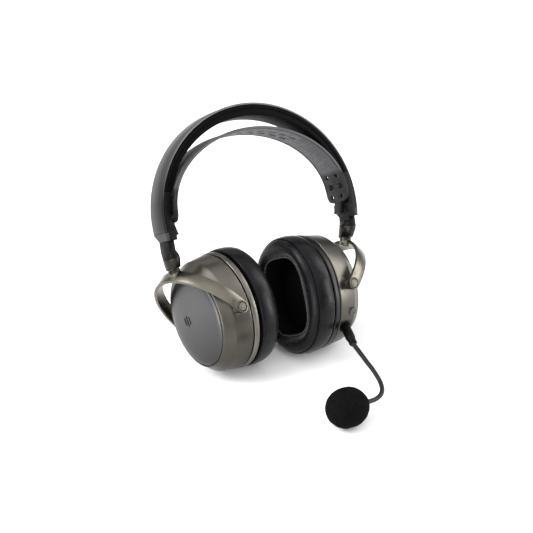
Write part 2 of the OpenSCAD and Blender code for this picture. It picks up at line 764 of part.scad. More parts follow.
dust_mesh(-1);  // dust_mesh_r
dust_mesh(1);  // dust_mesh_l
driver_frame(-1);  // driver_frame_r
driver_frame(1);  // driver_frame_l
diaphragm(-1);  // diaphragm_r
diaphragm(1);  // diaphragm_l
magnet_array(-1);  // magnet_array_r
magnet_array(1);  // magnet_array_l
battery();
circuit_board();
front_button();
power_button();
volume_wheel();
mix_wheel();
wheel_axles();
mute_switch();
status_led();
usb_port();
audio_jack();
mic_socket();
mic_jack_pin();
mic_plug_body();
gooseneck_lower();
gooseneck_upper();
mic_holder();
windscreen();
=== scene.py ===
"""Wireless over-ear headset with a plug-in boom microphone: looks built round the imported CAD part."""
import math

import bmesh
import bpy
import numpy as np
from mathutils import Matrix, Vector, noise


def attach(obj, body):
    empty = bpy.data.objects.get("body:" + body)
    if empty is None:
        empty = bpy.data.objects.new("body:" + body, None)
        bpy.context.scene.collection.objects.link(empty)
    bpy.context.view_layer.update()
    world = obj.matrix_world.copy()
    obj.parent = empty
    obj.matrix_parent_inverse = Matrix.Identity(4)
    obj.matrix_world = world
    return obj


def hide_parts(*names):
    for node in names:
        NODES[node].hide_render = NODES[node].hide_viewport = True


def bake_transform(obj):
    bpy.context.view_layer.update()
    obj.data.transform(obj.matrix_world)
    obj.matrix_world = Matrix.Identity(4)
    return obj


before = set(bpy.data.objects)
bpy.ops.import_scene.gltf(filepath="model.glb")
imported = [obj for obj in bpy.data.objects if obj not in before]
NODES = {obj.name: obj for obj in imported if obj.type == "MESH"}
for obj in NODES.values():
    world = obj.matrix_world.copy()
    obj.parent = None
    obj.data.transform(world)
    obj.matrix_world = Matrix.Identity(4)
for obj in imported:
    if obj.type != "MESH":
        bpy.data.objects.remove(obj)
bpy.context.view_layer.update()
MM = 0.001                      # a millimetre in metres
COL = bpy.context.scene.collection
SIDES = (("r", -1), ("l", 1))   # the wearer's right and left, and the sign of X there

# ------------------------------------------------------------------ camera

SHIFT = Vector((2.72, 64.30, 126.20))       # the headband's own origin in the row frame, mm
EYE = Vector((-509.5, -882.5, 469.9))       # from that origin, mm
LOOK = Vector((0.4495, 0.7668, -0.4582))
ABOVE = Vector((0.2512, 0.3837, 0.8886))
LENS = 85.66                                # mm, with a film 36 mm wide


def camera():
    eye = (EYE + SHIFT) * MM
    fwd = LOOK.normalized()
    right = fwd.cross(ABOVE).normalized()
    up = right.cross(fwd)
    cam = bpy.data.objects.new("photo_camera", bpy.data.cameras.new("photo_camera"))
    cam.data.sensor_width = 36
    cam.data.lens = LENS
    cam.data.clip_end = 20
    rot = Matrix((right, up, -fwd)).transposed().to_4x4()
    cam.matrix_world = Matrix.Translation(eye) @ rot
    COL.objects.link(cam)
    bpy.context.scene.camera = cam


camera()

# ------------------------------------------------------------------ frames, in mm


def trans(x, y, z):
    return Matrix.Translation((x, y, z))


def turn(axis, deg):
    return Matrix.Rotation(math.radians(deg), 4, axis)


# How each side is set, as in the part: slider out (mm), swivel and tilt (degrees)
EXTEND = {-1: 8.0, 1: 2.5}
SWIVEL = {-1: -7.7, 1: 5.1}
TILT = {-1: 7.4, 1: -2.3}
STAND = trans(*SHIFT) @ turn("Y", 7.6) @ turn("X", -27.9)
HUB = (88.4, 2.2, -37.0)                # the yoke's swivel, in the slider's frame, mm
NECK_TILT = 12.2                        # lean of the swivel's axis, degrees
YOKE_RISE = 51.1                        # rise of the bow above the pivot line, mm
YOKE_SLANT = math.radians(31.8)         # lean of the plane of the bow
FOAM_CENTRE = (-69.7, -93.7, -97.1)     # in the left cup's frame, mm
PIVOT = Vector((3.7 - YOKE_RISE * math.sin(YOKE_SLANT), 7.6, -0.4 - YOKE_RISE * math.cos(YOKE_SLANT)))


def side(s):
    return Matrix.Diagonal((s, 1, 1, 1))


def slider_frame(s):
    return STAND @ side(s) @ trans(0, 0, -EXTEND[s])


def yoke_frame(s):
    neck = trans(*HUB) @ turn("X", -2.5) @ turn("Y", NECK_TILT)
    return slider_frame(s) @ neck @ turn("Z", SWIVEL[s])


def cup_frame(s):
    return yoke_frame(s) @ trans(*PIVOT) @ turn("Y", TILT[s] - NECK_TILT)


def foam_frame():
    return cup_frame(1) @ trans(*FOAM_CENTRE) @ turn("Z", 7.5) @ turn("Y", -90)


# ------------------------------------------------------------------ material tools


class Shader:
    """One procedural material. Textures are read in the object's own coordinates, in metres."""

    def __init__(self, name, base, rough, metal=0.0, spec=0.5, coat=0.0, coat_rough=0.1,
                 sheen=0.0, sheen_rough=0.5):
        self.mat = bpy.data.materials.new(name)
        self.mat.use_nodes = True
        self.mat.diffuse_color = (*base, 1)
        self.nodes = self.mat.node_tree.nodes
        self.links = self.mat.node_tree.links
        self.bsdf = self.nodes["Principled BSDF"]
        self.base = base
        self.rough = rough
        inputs = self.bsdf.inputs
        inputs["Base Color"].default_value = (*base, 1)
        inputs["Roughness"].default_value = rough
        inputs["Metallic"].default_value = metal
        inputs["Specular IOR Level"].default_value = spec
        inputs["Coat Weight"].default_value = coat
        inputs["Coat Roughness"].default_value = coat_rough
        inputs["Sheen Weight"].default_value = sheen
        inputs["Sheen Roughness"].default_value = sheen_rough
        self.coords = self.nodes.new("ShaderNodeTexCoord").outputs["Object"]

    def local(self, matrix_mm):
        """Coordinates in a part's own frame, still in metres."""
        inverse = matrix_mm.inverted()
        inverse.translation = inverse.translation * MM
        mapping = self.nodes.new("ShaderNodeMapping")
        mapping.vector_type = "POINT"
        location, rotation, scale = inverse.decompose()
        mapping.inputs["Location"].default_value = location
        mapping.inputs["Rotation"].default_value = rotation.to_euler()
        mapping.inputs["Scale"].default_value = scale
        self.links.new(self.coords, mapping.inputs["Vector"])
        self.coords = mapping.outputs["Vector"]
        return self

    def stretched(self, factors):
        mapping = self.nodes.new("ShaderNodeMapping")
        mapping.inputs["Scale"].default_value = factors
        self.links.new(self.coords, mapping.inputs["Vector"])
        return mapping.outputs["Vector"]

    def noise(self, size_mm, detail=3.0, rough=0.55, stretch=None, distort=0.0):
        t = self.nodes.new("ShaderNodeTexNoise")
        t.inputs["Scale"].default_value = 1000.0 / size_mm
        t.inputs["Detail"].default_value = detail
        t.inputs["Roughness"].default_value = rough
        t.inputs["Distortion"].default_value = distort
        self.links.new(self.stretched(stretch) if stretch else self.coords, t.inputs["Vector"])
        return t.outputs["Fac"]

    def cells(self, size_mm, feature="F1"):
        t = self.nodes.new("ShaderNodeTexVoronoi")
        t.feature = feature
        t.inputs["Scale"].default_value = 1000.0 / size_mm
        self.links.new(self.coords, t.inputs["Vector"])
        return t.outputs["Distance"]

    def wave(self, width_mm, axis):
        """A sine along one axis: bands of this width, light and dark in turn."""
        t = self.nodes.new("ShaderNodeTexWave")
        t.bands_direction = axis
        t.inputs["Scale"].default_value = 1000.0 / width_mm / 20 * math.pi
        self.links.new(self.coords, t.inputs["Vector"])
        return t.outputs["Fac"]

    def curve(self, fac, a, b, lo, hi):
        r = self.nodes.new("ShaderNodeMapRange")
        for k, v in (("From Min", a), ("From Max", b), ("To Min", lo), ("To Max", hi)):
            r.inputs[k].default_value = v
        r.clamp = True
        self.links.new(fac, r.inputs["Value"])
        return r.outputs["Result"]

    def math(self, op, x, y):
        m = self.nodes.new("ShaderNodeMath")
        m.operation = op
        for k, v in ((0, x), (1, y)):
            if isinstance(v, (int, float)):
                m.inputs[k].default_value = v
            else:
                self.links.new(v, m.inputs[k])
        return m.outputs[0]

    def mix(self, fac, a, b):
        m = self.nodes.new("ShaderNodeMix")
        m.data_type = "RGBA"
        self.links.new(fac, m.inputs["Factor"])
        for k, v in (("A", a), ("B", b)):
            s = [x for x in m.inputs if x.name == k and x.type == "RGBA"][0]
            if isinstance(v, tuple):
                s.default_value = (*v, 1)
            else:
                self.links.new(v, s)
        return [x for x in m.outputs if x.type == "RGBA"][0]

    def place(self):
        """X, Y and Z of the point, as outputs."""
        xyz = self.nodes.new("ShaderNodeSeparateXYZ")
        self.links.new(self.coords, xyz.inputs["Vector"])
        return xyz.outputs

    def square_sum(self, x, z):
        return self.math("ADD", self.math("MULTIPLY", x, x), self.math("MULTIPLY", z, z))

    def mottle(self, size_mm, dark, light, detail=4, rough=0.6):
        """Slow changes between two close tones."""
        return self.mix(self.curve(self.noise(size_mm, detail, rough), 0.3, 0.7, 0, 1), dark, light)

    def colour(self, socket):
        self.links.new(socket, self.bsdf.inputs["Base Color"])
        return self

    def vary(self, fac, amount=0.15, a=0.35, b=0.65, tint=(1, 1, 1)):
        """Base colour between darker and lighter, by a texture."""
        dark = tuple(c * (1 - amount) for c in self.base)
        light = tuple(min(1, c * (1 + amount) * t) for c, t in zip(self.base, tint))
        return self.colour(self.mix(self.curve(fac, a, b, 0, 1), dark, light))

    def roughness(self, fac, spread=0.08, a=0.3, b=0.7):
        value = self.curve(fac, a, b, self.rough - spread, self.rough + spread)
        self.links.new(value, self.bsdf.inputs["Roughness"])
        return self

    def handled(self, spread=0.07, stretch=None):
        """Roughness with faint handling marks."""
        return self.roughness(self.noise(3.2, 6, 0.75, stretch=stretch, distort=0.6), spread, 0.25, 0.75)

    def bump(self, fac, height_mm, strength=1.0):
        bm = self.nodes.new("ShaderNodeBump")
        bm.inputs["Strength"].default_value = strength
        bm.inputs["Distance"].default_value = height_mm * MM
        self.links.new(fac, bm.inputs["Height"])
        if self.bsdf.inputs["Normal"].is_linked:
            self.links.new(self.bsdf.inputs["Normal"].links[0].from_socket, bm.inputs["Normal"])
        self.links.new(bm.outputs["Normal"], self.bsdf.inputs["Normal"])
        return self


def metal(name, base, rough, grain=0.012, vary=0.10, stretch=None):
    """Satin metal: fine grain, slow changes of tone, and a few faint handling marks."""
    s = Shader(name, base, rough, metal=1.0)
    s.vary(s.noise(22, 4, 0.6), vary, 0.3, 0.7, (1.0, 0.99, 0.97))
    s.handled(stretch=(1, 1, 0.25))
    s.bump(s.noise(0.35, 2, 0.5, stretch=stretch), grain)
    return s.mat


def metal_with_painted_light(name, base, rough, where, tones, painted_light_tone, near_z, far_z, marks, spread=0.06,
                 grain=0.012, grain_size=0.35, stretch=None):
    """Satin metal that turns into a painted-light tone along Z of the frame where, from near_z to far_z
    (m): painted shade low on the barrels and face plates, a painted highlight high on the band.
    """
    s = Shader(name, base, rough, metal=1.0)
    s.local(where)
    # how much of the painted-light tone each point gets
    far = s.curve(s.place()["Z"], far_z, near_z, 1, 0)
    s.colour(s.mix(far, s.mottle(22, *tones), painted_light_tone))
    s.handled(spread, marks)
    s.bump(s.noise(grain_size, 2, 0.5, stretch=stretch), grain)
    return s.mat


def plastic(name, base, rough, spec=0.4, grain=0.03, grain_size=0.5, vary=0.25, coat=0.0):
    """Moulded plastic: spark-eroded grain, small tone changes, rubbed patches."""
    s = Shader(name, base, rough, spec=spec, coat=coat, coat_rough=0.2)
    s.vary(s.noise(9, 5, 0.65), vary, 0.3, 0.7)
    s.roughness(s.noise(4.5, 5, 0.7), 0.08)
    s.bump(s.cells(grain_size), grain * 0.6)
    s.bump(s.noise(grain_size * 0.6, 2, 0.5), grain)
    return s.mat


def leather(name, base, rough, spec=0.12, sheen=0.04):
    """Protein leather: pebble cells, pores and soft creases, with a little fabric sheen."""
    s = Shader(name, base, rough, spec=spec, sheen=sheen, sheen_rough=0.45)
    s.vary(s.noise(14, 4, 0.6), 0.25, 0.3, 0.7)
    s.roughness(s.noise(6, 4, 0.6), 0.07)
    s.bump(s.noise(7.5, 3, 0.5, distort=0.8), 0.22, 0.5)
    s.bump(s.cells(0.85, "DISTANCE_TO_EDGE"), 0.035)
    s.bump(s.noise(0.28, 2, 0.5), 0.012)
    return s.mat


M = {}      # the materials, by short name


def yoke_metal(tag, side_sign):
    """The yoke's strip, with a hub as dark as its collar and a line of painted shade round the pivot
    cap.
    """
    hub_tone, cap_shade_tone = (0.030, 0.028, 0.026), (0.012, 0.011, 0.010)
    hub_from, hub_to = 0.0004, 0.0022       # heights between which the strip turns into hub, m
    line_in, line_out = 0.0043, 0.0060      # radii between which the painted shade round the cap fades, m
    s = Shader("satin_gunmetal_yoke_" + tag, (0.125, 0.116, 0.102), 0.30, metal=1.0)
    s.local(yoke_frame(side_sign))
    at = s.place()
    strip = s.mottle(22, (0.122, 0.111, 0.090), (0.148, 0.136, 0.111))
    tone = s.mix(s.curve(at["Z"], hub_from, hub_to, 0, 1), strip, hub_tone)
    # Painted shade round the pivot cap, which also darkens a bright shading ring there.
    x, z = s.math("ADD", at["X"], -PIVOT.x * MM), s.math("ADD", at["Z"], -PIVOT.z * MM)
    line = s.curve(s.square_sum(x, z), line_in ** 2, line_out ** 2, 1, 0)
    s.colour(s.mix(line, tone, cap_shade_tone))
    s.handled(0.07, (1, 0.25, 1))
    s.bump(s.noise(0.35, 2, 0.5), 0.012)
    return s.mat


def housing_plastic(tag, side_sign):
    """Black end housing, with a lighter skin on the outside of its lower end."""
    skin_x, skin_top, soft = 0.0953, -0.0093, 0.0001        # m, in the headband's frame
    s = Shader("housing_plastic_" + tag, (0.0034, 0.0034, 0.0036), 0.42, spec=0.09)
    s.local(STAND @ side(side_sign))
    at = s.place()
    outer = s.curve(at["X"], skin_x - soft, skin_x + soft, 0, 1)
    lower = s.curve(at["Z"], skin_top - soft, skin_top + soft, 1, 0)
    black = s.mottle(9, (0.0024, 0.0024, 0.0026), (0.0040, 0.0040, 0.0043), 5, 0.65)
    s.colour(s.mix(s.math("MULTIPLY", outer, lower), black, (0.034, 0.034, 0.0352)))
    s.roughness(s.noise(4.5, 5, 0.7), 0.08)
    s.bump(s.cells(0.5), 0.02)
    return s.mat


def strap_elastomer():
    """Grey strap with black ends, where the adjustment holes are."""
    tab_to, tab_from = 0.024, 0.028         # heights between which the black end begins, m
    s = Shader("strap_elastomer", (0.059, 0.059, 0.063), 0.58, spec=0.25)
    s.local(STAND)
    tab = s.curve(s.place()["Z"], tab_to, tab_from, 1, 0)
    grey = s.mottle(11, (0.053, 0.053, 0.057), (0.066, 0.066, 0.070))
    s.colour(s.mix(tab, grey, (0.0045, 0.0045, 0.0048)))
    s.roughness(s.noise(3.5, 4, 0.6), 0.08)
    s.bump(s.cells(0.55), 0.03)
    s.bump(s.noise(5, 2, 0.5), 0.08, 0.4)
    return s.mat


def rubber(name, base, rough, spec, size, vary, marks, grain_size, grain):
    """Soft moulded rubber: tone changes, rubbed marks and grain, with their sizes in mm."""
    s = Shader(name, base, rough, spec=spec)
    s.vary(s.noise(size, 4, 0.6), vary)
    s.roughness(s.noise(marks, 4, 0.6), 0.08)
    s.bump(s.noise(grain_size, 2, 0.5), grain)
    return s.mat


def acoustic_mesh():
    s = Shader("acoustic_mesh", (0.0015, 0.0015, 0.0016), 0.8, spec=0.06)
    warp, weft = s.wave(0.7, "Y"), s.wave(0.7, "Z")
    s.vary(s.math("MULTIPLY", warp, weft), 0.6, 0.0, 1.0)
    s.bump(s.math("MAXIMUM", warp, weft), 0.12)
    s.roughness(s.noise(5), 0.08)
    return s.mat


def open_foam():
    s = Shader("open_cell_foam", (0.0033, 0.0033, 0.0036), 0.95, spec=0.03)
    pores = s.cells(0.62)
    # Tone: random changes, and painted shade in the pits of the pores.
    s.vary(s.math("MULTIPLY", pores, s.noise(1.6, 4, 0.6)), 0.75, 0.05, 0.45)
    s.bump(s.noise(1.3, 5, 0.75), 0.30)
    s.bump(pores, 0.22)
    s.roughness(s.noise(3), 0.04)
    return s.mat


def metals():
    M["gunmetal_edge"] = metal("polished_gunmetal", (0.224, 0.218, 0.205), 0.20, grain=0.003, vary=0.05)
    M["yoke_edge"] = metal("rubbed_yoke_edge", (0.165, 0.153, 0.130), 0.30, grain=0.004, vary=0.05)
    M["ring_r"] = metal("satin_gunmetal_ring", (0.134, 0.126, 0.111), 0.33)
    # The left trim ring is the right ring's metal in a darker tone: painted shade.
    M["ring_l"] = metal("dark_ring", (0.026, 0.026, 0.0265), 0.36)
    M["collar"] = metal("dark_gunmetal_collar", (0.029, 0.0275, 0.025), 0.34)
    M["spring"] = metal("brushed_spring_steel", (0.363, 0.370, 0.383), 0.28, stretch=(0.1, 1, 0.1))
    M["steel"] = metal("plated_steel", (0.317, 0.317, 0.330), 0.25)
    M["gold"] = metal("plated_contact", (0.488, 0.383, 0.185), 0.22)
    M["screw"] = metal("black_zinc_screw", (0.053, 0.053, 0.056), 0.3)
    M["pin"] = metal("satin_gunmetal_cap", (0.074, 0.068, 0.056), 0.38)
    M["button"] = metal("satin_button", (0.099, 0.094, 0.087), 0.3)
    M["film"] = metal("diaphragm_film", (0.409, 0.343, 0.172), 0.2)
    for tag, sign in SIDES:
        M["yoke_" + tag] = yoke_metal(tag, sign)
        # Barrels and face plates turn darker towards their bottoms: painted shade.
        M["barrel_" + tag] = metal_with_painted_light(
            "satin_gunmetal_barrel_" + tag, (0.118, 0.112, 0.104), 0.36, where=cup_frame(sign),
            tones=((0.114, 0.106, 0.092), (0.134, 0.125, 0.109)), painted_light_tone=(0.049, 0.045, 0.039),
            near_z=0.030, far_z=-0.045, marks=(0.25, 1, 1), spread=0.07)
        M["face_" + tag] = metal_with_painted_light(
            "satin_graphite_" + tag, (0.088, 0.088, 0.090), 0.34, where=cup_frame(sign),
            tones=((0.084, 0.084, 0.086), (0.093, 0.093, 0.095)), painted_light_tone=(0.040, 0.040, 0.041),
            near_z=0.004, far_z=-0.044, marks=(0.25, 1, 1), grain=0.010, grain_size=0.25)
    # The band turns lighter towards its top: a painted highlight.
    M["cover"] = metal_with_painted_light(
        "satin_grey_band", (0.070, 0.070, 0.072), 0.40, where=STAND,
        tones=((0.021, 0.021, 0.0215), (0.027, 0.027, 0.0275)), painted_light_tone=(0.140, 0.140, 0.142),
        near_z=0.015, far_z=0.080, marks=(1, 1, 0.25), grain=0.02, stretch=(1, 0.15, 1))


def plastics():
    M["black"] = plastic("black_moulded", (0.0026, 0.0026, 0.0028), 0.42, spec=0.08)
    M["liner"] = plastic("soft_touch_liner", (0.0016, 0.0016, 0.0018), 0.50, spec=0.035, grain=0.02,
                         grain_size=0.35)
    M["badge"] = plastic("black_badge", (0.0040, 0.0040, 0.0043), 0.40, spec=0.12, grain=0.004)
    M["led"] = plastic("clear_light_pipe", (0.409, 0.409, 0.383), 0.18, coat=0.5, grain=0.002, vary=0.08)
    M["driver"] = plastic("driver_basket", (0.0198, 0.0198, 0.0218), 0.5)
    M["wrap"] = plastic("battery_sleeve", (0.0198, 0.059, 0.145), 0.3)
    M["board"] = plastic("solder_mask", (0.0066, 0.066, 0.0231), 0.32)
    for tag, sign in SIDES:
        M["housing_" + tag] = housing_plastic(tag, sign)


def soft_materials():
    M["pad"] = leather("pad_leather", (0.0030, 0.0030, 0.0038), 0.30, spec=0.12, sheen=0.02)
    M["pad_inner"] = leather("pad_inner_leather", (0.0023, 0.0023, 0.0025), 0.62, spec=0.10, sheen=0.0)
    # The piping is a lighter leather: a painted highlight along the opening's edge.
    M["piping"] = leather("pad_piping", (0.030, 0.030, 0.032), 0.30, spec=0.4, sheen=0.1)
    # The seam's crease is the pad's leather made near black: painted shade in the groove.
    M["crease"] = leather("pad_seam_crease", (0.0008, 0.0008, 0.0009), 0.8, spec=0.02, sheen=0.0)
    M["strap"] = strap_elastomer()
    M["strap_edge"] = rubber("strap_edge_elastomer", (0.0066, 0.0066, 0.0069), 0.46, spec=0.2,
                             size=8, vary=0.25, marks=3, grain_size=0.5, grain=0.02)
    M["goose"] = rubber("gooseneck_sheath", (0.0043, 0.0043, 0.0046), 0.40, spec=0.22,
                        size=6, vary=0.3, marks=2.5, grain_size=0.35, grain=0.015)
    M["mesh"] = acoustic_mesh()
    M["foam"] = open_foam()


metals()
plastics()
soft_materials()

# ------------------------------------------------------------------ mesh tools


def soften_group():
    """Shades a mesh smooth except at edges sharper than the angle."""
    group = bpy.data.node_groups.new("soft_shading", "GeometryNodeTree")
    group.interface.new_socket("Geometry", in_out="INPUT", socket_type="NodeSocketGeometry")
    group.interface.new_socket("Angle", in_out="INPUT", socket_type="NodeSocketFloat")
    group.interface.new_socket("Geometry", in_out="OUTPUT", socket_type="NodeSocketGeometry")
    nodes, links = group.nodes, group.links
    given, result = nodes.new("NodeGroupInput"), nodes.new("NodeGroupOutput")
    plain = nodes.new("GeometryNodeRemoveAttribute")
    plain.inputs["Name"].default_value = "custom_normal"
    smooth = nodes.new("GeometryNodeSetShadeSmooth")
    sharp = nodes.new("GeometryNodeSetShadeSmooth")
    sharp.domain = "EDGE"
    sharp.inputs["Shade Smooth"].default_value = False
    edge = nodes.new("GeometryNodeInputMeshEdgeAngle")
    over = nodes.new("FunctionNodeCompare")
    over.data_type = "FLOAT"
    over.operation = "GREATER_THAN"
    links.new(edge.outputs["Unsigned Angle"], over.inputs[0])
    links.new(given.outputs["Angle"], over.inputs[1])
    links.new(given.outputs["Geometry"], plain.inputs["Geometry"])
    links.new(plain.outputs["Geometry"], smooth.inputs["Geometry"])
    links.new(smooth.outputs["Geometry"], sharp.inputs["Geometry"])
    links.new(over.outputs["Result"], sharp.inputs["Selection"])
    links.new(sharp.outputs["Geometry"], result.inputs["Geometry"])
    return group


SOFT = soften_group()
SOFT_ANGLE = [i for i in SOFT.interface.items_tree if i.name == "Angle"][0].identifier


def finish_node(name, mat, bevel=0.0, segments=2, angle=32, edge=None, smooth=36):
    """A CAD node's material, a small bevel on its real edges, and smooth shading between them."""
    o = NODES[name]
    o.data.materials.clear()
    o.data.materials.append(M[mat])
    w = o.modifiers.new("weld", "WELD")
    w.merge_threshold = 2e-6
    if bevel:
        b = o.modifiers.new("edges", "BEVEL")
        b.limit_method = "ANGLE"
        b.angle_limit = math.radians(angle)
        b.width = bevel * MM
        b.segments = segments
        b.use_clamp_overlap = True
        b.miter_outer = "MITER_ARC"
        b.loop_slide = False
        if edge:
            o.data.materials.append(M[edge])
            b.material = 1
    g = o.modifiers.new("soft", "NODES")
    g.node_group = SOFT
    g[SOFT_ANGLE] = math.radians(smooth)


def piece(name, verts_mm, faces, mat, matrix):
    """A visible piece from points in mm in the frame that the matrix gives."""
    me = bpy.data.meshes.new(name)
    pts = [(matrix @ Vector(v)) * MM for v in verts_mm]
    if matrix.determinant() < 0:
        faces = [tuple(reversed(f)) for f in faces]
    me.from_pydata([tuple(p) for p in pts], [], faces)
    me.validate()
    bm = bmesh.new()
    bm.from_mesh(me)
    bmesh.ops.recalc_face_normals(bm, faces=bm.faces)
    bm.to_mesh(me)
    bm.free()
    for p in me.polygons:
        p.use_smooth = True
    me.materials.append(M[mat])
    o = bpy.data.objects.new(name, me)
    COL.objects.link(o)
    return o


def ring_faces(rows, cols, wrap_rows=True, caps=False):
    """Faces between rows of points, each row a closed ring."""
    f = []
    for i in range(rows if wrap_rows else rows - 1):
        for j in range(cols):
            a, b = i * cols + j, i * cols + (j + 1) % cols
            c, d = ((i + 1) % rows) * cols + (j + 1) % cols, ((i + 1) % rows) * cols + j
            f.append((a, b, c, d))
    if caps:
        f.append(tuple(range(cols))[::-1])
        f.append(tuple((rows - 1) * cols + j for j in range(cols)))
    return f


def spow(v, p):
    """A power that keeps the sign."""
    return math.copysign(abs(v) ** p, v)


def oval(x, a, b, n, count):
    """Points of an oval in a cup's frame: a is half the height, b half the width, n its squareness."""
    out = []
    for i in range(count):
        t = 2 * math.pi * i / count
        out.append(Vector((x, b * spow(math.cos(t), 2 / n), a * spow(math.sin(t), 2 / n))))
    return out


def spline(points, step):
    """Points at even steps along a smooth curve through the given ones, and its length."""
    parts = 24
    p = [Vector(q) for q in points]
    p = [p[0] * 2 - p[1]] + p + [p[-1] * 2 - p[-2]]
    dense = []
    for k in range(1, len(p) - 2):
        for i in range(parts):
            t = i / parts
            a, b, c, d = p[k - 1], p[k], p[k + 1], p[k + 2]
            dense.append(0.5 * ((2 * b) + (c - a) * t + (2 * a - 5 * b + 4 * c - d) * t * t
                                + (3 * b - a - 3 * c + d) * t ** 3))
    dense.append(p[-2])
    length = [0.0]
    for a, b in zip(dense, dense[1:]):
        length.append(length[-1] + (b - a).length)
    n = max(2, round(length[-1] / step))
    out = []
    k = 0
    for i in range(n + 1):
        s = length[-1] * i / n
        while k < len(length) - 2 and length[k + 1] < s:
            k += 1
        u = (s - length[k]) / max(length[k + 1] - length[k], 1e-9)
        out.append(dense[k].lerp(dense[k + 1], min(1, u)))
    return out, length[-1]


def sweep(path, section, closed=False, ref=(0, 0, 1), scale=None):
    """Vertices and faces of a section (u, v) carried along a path without twist."""
    n = len(path)
    verts = []
    u = Vector(ref)
    for i, p in enumerate(path):
        a = path[(i - 1) % n] if closed or i > 0 else p
        b = path[(i + 1) % n] if closed or i < n - 1 else p
        t = (b - a).normalized()
        u = (u - t * u.dot(t)).normalized()
        w = t.cross(u)
        k = scale[i] if scale else 1.0
        verts += [tuple(p + u * (s[0] * k) + w * (s[1] * k)) for s in section]
    return verts, ring_faces(n, len(section), wrap_rows=closed, caps=not closed)


def circle(r, n):
    return [(r * math.cos(2 * math.pi * i / n), r * math.sin(2 * math.pi * i / n)) for i in range(n)]


# ------------------------------------------------------------------ CAD nodes

LOOKS = {
    "headband_cover": dict(mat="cover", bevel=0.30),
    "spring_band": dict(mat="spring"),
    "band_liner": dict(mat="liner", bevel=0.9, segments=3, angle=50),
    "end_housing": dict(mat="housing_", bevel=0.45, segments=3, angle=40),
    "suspension_strap": dict(mat="strap", bevel=0.25, segments=2, angle=50),
    "strap_pegs": dict(mat="badge", bevel=0.15, angle=40),
    "housing_screws": dict(mat="screw", bevel=0.15, angle=40),
    "slider": dict(mat="black", bevel=0.40, segments=3, angle=44, smooth=48),
    "collar": dict(mat="collar", bevel=0.35, segments=3, angle=30),
    "yoke": dict(mat="yoke_", bevel=0.40, segments=2, angle=38, edge="yoke_edge"),
    "swivel_pin": dict(mat="steel"),
    "pivot_pins": dict(mat="pin"),
    "barrel": dict(mat="barrel_", bevel=0.20, angle=30, edge="gunmetal_edge"),
    "face_plate": dict(mat="face_"),
    "emblem": dict(mat="badge", bevel=0.15, angle=40),
    "trim_ring": dict(mat="ring_", bevel=0.16, angle=22),
    "baffle": dict(mat="black", bevel=0.3, angle=40),
    "pad_frame": dict(mat="black", bevel=0.25, angle=40),
    "dust_mesh": dict(mat="mesh"),
    "driver_frame": dict(mat="driver"),
    "diaphragm": dict(mat="film"),
    "magnet_array": dict(mat="steel"),
    "battery": dict(mat="wrap"),
    "circuit_board": dict(mat="board"),
    "front_button": dict(mat="button", bevel=0.25, angle=35, edge="gunmetal_edge"),
    "power_button": dict(mat="button", bevel=0.25, angle=35, edge="gunmetal_edge"),
    "volume_wheel": dict(mat="black", bevel=0.12, angle=35),
    "mix_wheel": dict(mat="black", bevel=0.12, angle=35),
    "wheel_axles": dict(mat="steel"),
    "mute_switch": dict(mat="black", bevel=0.25, angle=35),
    "status_led": dict(mat="led"),
    "usb_port": dict(mat="steel", bevel=0.12, angle=40),
    "audio_jack": dict(mat="black", bevel=0.12, angle=40),
    "mic_socket": dict(mat="black", bevel=0.30, segments=3, angle=35),
    "mic_jack_pin": dict(mat="gold"),
    "mic_plug_body": dict(mat="black", bevel=0.30, segments=3, angle=35),
    "mic_holder": dict(mat="black"),
}

for node_name in NODES:
    stem = node_name[:-2] if node_name.endswith(("_r", "_l")) else node_name
    if stem in LOOKS:
        look = dict(LOOKS[stem])
        for key in ("mat", "edge"):
            if look.get(key, "").endswith("_"):
                look[key] += node_name[-1]
        finish_node(node_name, **look)


# ------------------------------------------------------------------ ear pads

PAD_A, PAD_B = 44.2, 37.0       # half height and half width of the pad's centre oval, mm
PAD_STEPS = 132                 # points round the pad
SEAM = 10                       # column of pad_section on the outer seam
LIP = 20                        # column at the edge of the opening
INSIDE = 21                     # first column inside the opening
FLOOR_GAP = 0.0002              # m


def pad_section():
    """Section of the pad: x, distance from the centre oval (mm), squareness, and 1 where it is sewn."""
    return [
        (-20.9, 7.8, 2.05, 1), (-21.6, 8.6, 2.05, 1), (-23.2, 9.0, 2.05, 0), (-25.6, 9.2, 2.05, 0),
        (-28.4, 9.3, 2.06, 0), (-31.2, 9.2, 2.06, 0), (-33.8, 8.9, 2.06, 0), (-36.0, 8.5, 2.06, 0),
        (-37.3, 8.1, 2.06, 0), (-37.9, 7.6, 2.06, 1), (-37.5, 7.25, 2.06, 1), (-38.3, 7.0, 2.06, 1),
        (-39.4, 6.5, 2.06, 0), (-40.8, 5.2, 2.08, 0), (-42.0, 3.0, 2.12, 0), (-42.7, 0.6, 2.2, 0),
        (-42.8, -2.0, 2.4, 0), (-42.2, -4.6, 2.65, 0), (-41.3, -6.8, 2.9, 0), (-40.2, -8.5, 3.05, 0),
        (-38.9, -9.4, 3.1, 1), (-37.6, -9.7, 3.1, 1), (-35.5, -9.6, 3.1, 0), (-32.5, -9.7, 3.0, 0),
        (-29.0, -9.8, 2.85, 0), (-25.5, -9.5, 2.7, 0), (-22.9, -8.8, 2.5, 1), (-22.4, -7.4, 2.3, 1),
        (-22.4, -2.0, 2.1, 1), (-22.4, 1.6, 2.05, 1),
    ]


def pad_points(x, r, n, count):
    return oval(x, PAD_A + r, PAD_B + r, n, count)


